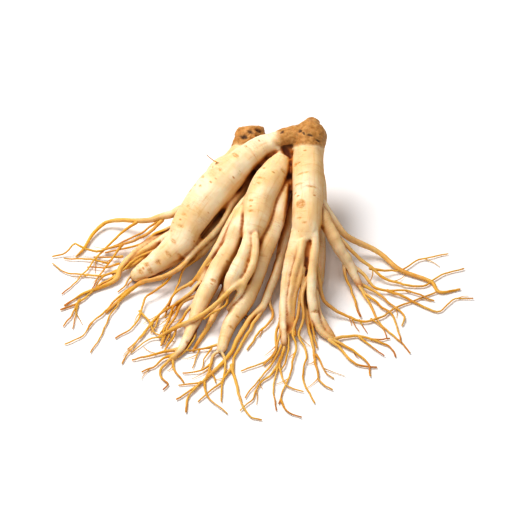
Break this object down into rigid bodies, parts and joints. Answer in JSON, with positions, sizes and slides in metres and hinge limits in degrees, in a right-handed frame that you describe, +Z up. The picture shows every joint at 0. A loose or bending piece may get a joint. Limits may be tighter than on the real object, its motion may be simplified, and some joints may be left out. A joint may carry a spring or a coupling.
{
  "type": "ginseng root",
  "caption": "Fresh pale ginseng root with a forked brown crown, thick tapering legs and a fan of fine rootlets, lying as picked.",
  "frame": {"origin": "on the ground, under the middle of the bounding box", "axes": "+X across the fan of rootlets, +Y towards the raised crown, +Z up from the ground it lies on"},
  "size_m": [0.2522, 0.2129, 0.0563],
  "materials": {
    "root_skin": "matte pale root skin, browner at the crown and golden at the rootlet tips"
  },
  "bodies": {
    "root": {"ginseng_root": "root_skin"}
  },
  "joints": []
}
